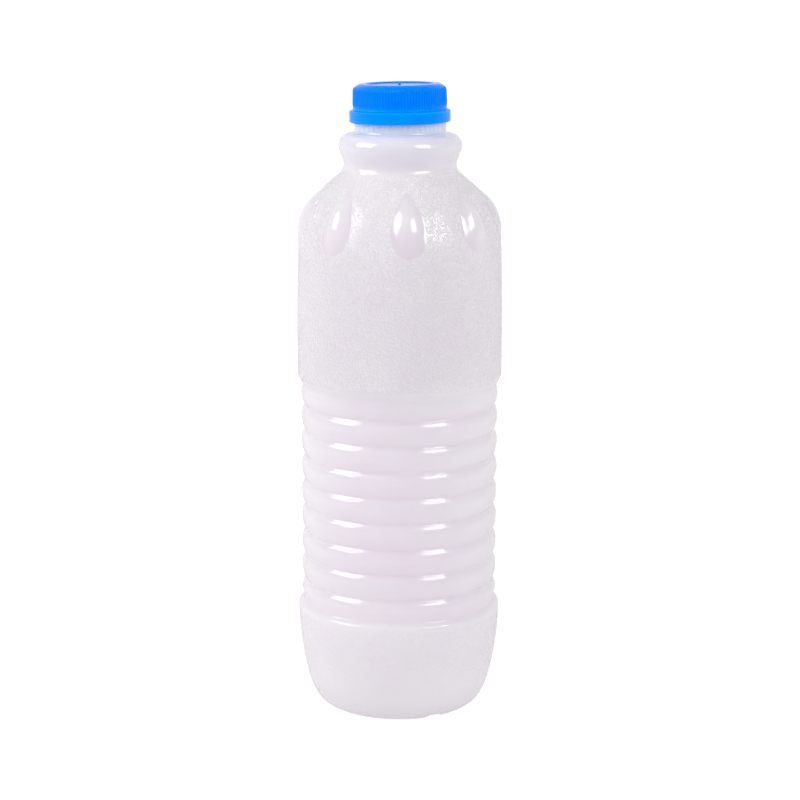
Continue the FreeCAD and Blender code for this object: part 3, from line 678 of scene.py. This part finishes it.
def plastic_cap():
    mat, nodes, links, bsdf = new_material("blue_polyethylene")
    coord = nodes.new("ShaderNodeTexCoord")
    noise = nodes.new("ShaderNodeTexNoise")
    noise.inputs["Scale"].default_value = 160.0
    noise.inputs["Detail"].default_value = 2.0
    links.new(coord.outputs["Object"], noise.inputs["Vector"])
    tone = ramp(nodes, [(0.3, (0.0, 0.238, 0.99)), (0.7, (0.0, 0.258, 1.0))])
    links.new(noise.outputs["Fac"], tone.inputs[0])
    # painted light: the band under the skirt is painted a shade paler blue, for light shining through it
    place = nodes.new("ShaderNodeSeparateXYZ")
    links.new(coord.outputs["Object"], place.inputs[0])
    low = nodes.new("ShaderNodeMapRange")
    low.inputs["From Min"].default_value = 0.2496
    low.inputs["From Max"].default_value = 0.2476
    links.new(place.outputs["Z"], low.inputs["Value"])
    pale = nodes.new("ShaderNodeMix")
    pale.data_type = "RGBA"
    links.new(low.outputs[0], pale.inputs["Factor"])
    links.new(tone.outputs[0], pale.inputs["A"])
    glow = ramp(nodes, [(0.35, (0.0, 0.292, 1.0)), (0.65, (0.0, 0.335, 1.0))])
    links.new(noise.outputs["Fac"], glow.inputs[0])
    links.new(glow.outputs[0], pale.inputs["B"])
    # painted light: a paler blue line is painted along the slit above the band, lifting the shade there
    level = math_node(nodes, links, "SUBTRACT", place.outputs["Z"], 0.24758)
    level = math_node(nodes, links, "ABSOLUTE", level)
    lit = nodes.new("ShaderNodeMapRange")
    lit.inputs["From Min"].default_value = 0.0008
    lit.inputs["From Max"].default_value = 0.0003
    links.new(level, lit.inputs["Value"])
    slit_light = nodes.new("ShaderNodeMix")
    slit_light.data_type = "RGBA"
    links.new(lit.outputs[0], slit_light.inputs["Factor"])
    links.new(pale.outputs["Result"], slit_light.inputs["A"])
    slit_light.inputs["B"].default_value = (0.0, 0.40, 1.0, 1)
    links.new(slit_light.outputs["Result"], bsdf.inputs["Base Color"])
    micro = nodes.new("ShaderNodeTexNoise")
    micro.inputs["Scale"].default_value = 900.0
    micro.inputs["Detail"].default_value = 2.0
    links.new(coord.outputs["Object"], micro.inputs["Vector"])
    bump = nodes.new("ShaderNodeBump")
    bump.inputs["Strength"].default_value = 0.25
    bump.inputs["Distance"].default_value = 0.00003
    links.new(micro.outputs["Fac"], bump.inputs["Height"])
    links.new(bump.outputs[0], bsdf.inputs["Normal"])
    # the flat top is smoother than the knurled skirt
    sep = nodes.new("ShaderNodeSeparateXYZ")
    links.new(coord.outputs["Object"], sep.inputs[0])
    rough = nodes.new("ShaderNodeMapRange")
    rough.inputs["From Min"].default_value = 0.2555
    rough.inputs["From Max"].default_value = 0.2570
    rough.inputs["To Min"].default_value = 0.26
    rough.inputs["To Max"].default_value = 0.12
    links.new(sep.outputs["Z"], rough.inputs["Value"])
    links.new(rough.outputs[0], bsdf.inputs["Roughness"])
    bsdf.inputs["IOR"].default_value = 1.49
    bsdf.inputs["Specular IOR Level"].default_value = 0.22
    bsdf.inputs["Specular Tint"].default_value = (0.02, 0.70, 1.0, 1)
    # painted light: a faint blue emission makes the cap glow a little, standing in for light gathered inside the
    # dyed plastic
    bsdf.inputs["Emission Color"].default_value = (0.0, 0.12, 1.0, 1)
    bsdf.inputs["Emission Strength"].default_value = 0.12
    bsdf.inputs["Subsurface Weight"].default_value = 0.15
    bsdf.inputs["Subsurface Radius"].default_value = (0.2, 0.7, 1.0)
    bsdf.inputs["Subsurface Scale"].default_value = 0.003
    return mat


bottle.data.materials.append(plastic_bottle())
cap.data.materials.append(plastic_cap())
for piece, node, slot in ((bottle, "bottle", "bottle_plastic"), (cap, "cap", "cap_plastic")):
    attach(piece, "root")
    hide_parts(node)

# ------------------------------------------------------------- floor and light
def plane(name, half, z):
    mesh = bpy.data.meshes.new(name)
    mesh.from_pydata([(-half, -half, z), (half, -half, z), (half, half, z), (-half, half, z)], [], [(0, 1, 2, 3)])
    obj = bpy.data.objects.new(name, mesh)
    bpy.context.scene.collection.objects.link(obj)
    mat, nodes, links, bsdf = new_material(name + "_finish")
    bsdf.inputs["Base Color"].default_value = (0.86, 0.86, 0.87, 1)
    bsdf.inputs["Roughness"].default_value = 0.9
    bsdf.inputs["Specular IOR Level"].default_value = 0.0
    obj.data.materials.append(mat)
    return obj, bsdf


# the floor that is seen is lit from within a little, so that it stays pale;
# the one that throws light back onto the bottle is plain
floor, shown = plane("floor", 30.0, 0.0)
shown.inputs["Emission Color"].default_value = (1, 1, 1, 1)
shown.inputs["Emission Strength"].default_value = 0.88
shown.inputs["Base Color"].default_value = (0.32, 0.32, 0.32, 1)
floor.visible_diffuse = False
floor.visible_glossy = False
floor.visible_transmission = False
floor.visible_shadow = False
bounce, plain = plane("floor_bounce", 30.0, -0.0005)
plain.inputs["Base Color"].default_value = (0.62, 0.62, 0.63, 1)
plain.inputs["Emission Color"].default_value = (1, 1, 1, 1)
plain.inputs["Emission Strength"].default_value = 0.20
bounce.visible_camera = False
bounce.visible_glossy = False
# what the glossy skin mirrors of the floor: pale behind the bottle, dimmer in
# front of it
mirror, sheen = plane("floor_mirrored", 30.0, -0.0010)
mirror.visible_camera = False
mirror.visible_diffuse = False
mirror.visible_transmission = False
mirror.visible_shadow = False
sheen.inputs["Base Color"].default_value = (0, 0, 0, 1)
sheen.inputs["Emission Color"].default_value = (1.0, 0.930, 0.970, 1)
mn, ml = mirror.data.materials[0].node_tree.nodes, mirror.data.materials[0].node_tree.links
m_coord = mn.new("ShaderNodeTexCoord")
m_sep = mn.new("ShaderNodeSeparateXYZ")
m_map = mn.new("ShaderNodeMapRange")
m_map.inputs["From Min"].default_value = -0.8
m_map.inputs["From Max"].default_value = 0.05
m_map.inputs["To Min"].default_value = 0.45
m_map.inputs["To Max"].default_value = 0.84
ml.new(m_coord.outputs["Object"], m_sep.inputs[0])
ml.new(m_sep.outputs["Y"], m_map.inputs["Value"])
ml.new(m_map.outputs[0], sheen.inputs["Emission Strength"])

world = bpy.data.worlds.new("studio")
bpy.context.scene.world = world
world.use_nodes = True
wn, wl = world.node_tree.nodes, world.node_tree.links
wn.clear()
w_out = wn.new("ShaderNodeOutputWorld")
w_soft = wn.new("ShaderNodeBackground")
w_soft.inputs["Color"].default_value = (0.97, 0.97, 1.0, 1)
w_soft.inputs["Strength"].default_value = 0.49
w_pale = wn.new("ShaderNodeBackground")
w_pale.inputs["Color"].default_value = (1, 1, 1, 1)
w_pale.inputs["Strength"].default_value = 1.0
w_ray = wn.new("ShaderNodeLightPath")
w_mix = wn.new("ShaderNodeMixShader")
wl.new(w_ray.outputs["Is Camera Ray"], w_mix.inputs[0])
wl.new(w_soft.outputs[0], w_mix.inputs[1])
wl.new(w_pale.outputs[0], w_mix.inputs[2])
# mirror-like reflections see a pale backdrop behind the bottle, a dimmer room
# in front of it
w_dir = wn.new("ShaderNodeTexCoord")
w_sep = wn.new("ShaderNodeSeparateXYZ")
wl.new(w_dir.outputs["Generated"], w_sep.inputs[0])
w_back = wn.new("ShaderNodeMapRange")
w_back.inputs["From Min"].default_value = 0.1
w_back.inputs["From Max"].default_value = 0.95
w_back.inputs["To Min"].default_value = 0.40
w_back.inputs["To Max"].default_value = 0.83
wl.new(w_sep.outputs["Y"], w_back.inputs["Value"])
w_gloss = wn.new("ShaderNodeBackground")
w_gloss.inputs["Color"].default_value = (1.0, 0.955, 0.985, 1)
wl.new(w_back.outputs[0], w_gloss.inputs["Strength"])
w_mix2 = wn.new("ShaderNodeMixShader")
wl.new(w_ray.outputs["Is Glossy Ray"], w_mix2.inputs[0])
wl.new(w_mix.outputs[0], w_mix2.inputs[1])
wl.new(w_gloss.outputs[0], w_mix2.inputs[2])
wl.new(w_mix2.outputs[0], w_out.inputs[0])


def softbox(name, azimuth, elevation, distance, width, tall, radiance, edge, aim=(0, 0, 0.15)):
    """Rectangular lamp; radiance is what a mirror would show of it."""
    data = bpy.data.lights.new(name, "AREA")
    data.shape = "RECTANGLE"
    data.size = width
    data.size_y = tall
    data.energy = radiance * math.pi * width * tall
    # brightest in the middle, falling off to the rim like a real softbox
    data.use_nodes = True
    nodes, links = data.node_tree.nodes, data.node_tree.links
    glow = next(n for n in nodes if n.type == "EMISSION")
    where = nodes.new("ShaderNodeNewGeometry")
    parts = nodes.new("ShaderNodeSeparateXYZ")
    links.new(where.outputs["Parametric"], parts.inputs[0])
    level = None
    for axis, soft_edge in (("X", edge[0]), ("Y", edge[1])):
        off = math_node(nodes, links, "SUBTRACT", parts.outputs[axis], 0.5)
        off = math_node(nodes, links, "ABSOLUTE", off)
        fall = nodes.new("ShaderNodeMapRange")
        fall.interpolation_type = "SMOOTHSTEP"
        fall.inputs["From Min"].default_value = 0.5
        fall.inputs["From Max"].default_value = 0.5 - soft_edge
        links.new(off, fall.inputs["Value"])
        level = fall.outputs[0] if level is None else math_node(nodes, links, "MULTIPLY", level, fall.outputs[0])
    links.new(level, glow.inputs["Strength"])
    obj = bpy.data.objects.new(name, data)
    bpy.context.scene.collection.objects.link(obj)
    a, e = rad(azimuth), rad(elevation)
    target = Vector(aim)
    pos = target + distance * Vector((math.sin(a) * math.cos(e), -math.cos(a) * math.cos(e), math.sin(e)))
    obj.location = pos
    obj.rotation_euler = (pos - target).to_track_quat("Z", "Y").to_euler()
    obj.visible_camera = False
    return obj


softbox("key_left", -74.0, 32.0, 1.2, 0.86, 0.78, 4.7, (0.16, 0.20))
softbox("fill_right", 48, 33.0, 1.2, 0.80, 0.68, 4.3, (0.24, 0.18))

# --------------------------------------------------------------------- camera
cam_data = bpy.data.cameras.new("camera")
cam_data.sensor_width = 36.0
cam_data.sensor_fit = "HORIZONTAL"
cam_data.lens = 2152.2 / 800.0 * 36.0
cam_data.clip_start = 0.01
cam_data.clip_end = 200.0
cam_data.dof.use_dof = False
camera = bpy.data.objects.new("camera", cam_data)
bpy.context.scene.collection.objects.link(camera)
look = Matrix.Rotation(rad(90.0 - 11.79), 4, "X") @ Matrix.Rotation(rad(0.174), 4, "Z")
camera.matrix_world = Matrix.Translation((0.0002, -0.870, 0.310)) @ look
bpy.context.scene.camera = camera
bpy.context.scene.view_settings.view_transform = "Standard"
bpy.context.scene.view_settings.look = "None"
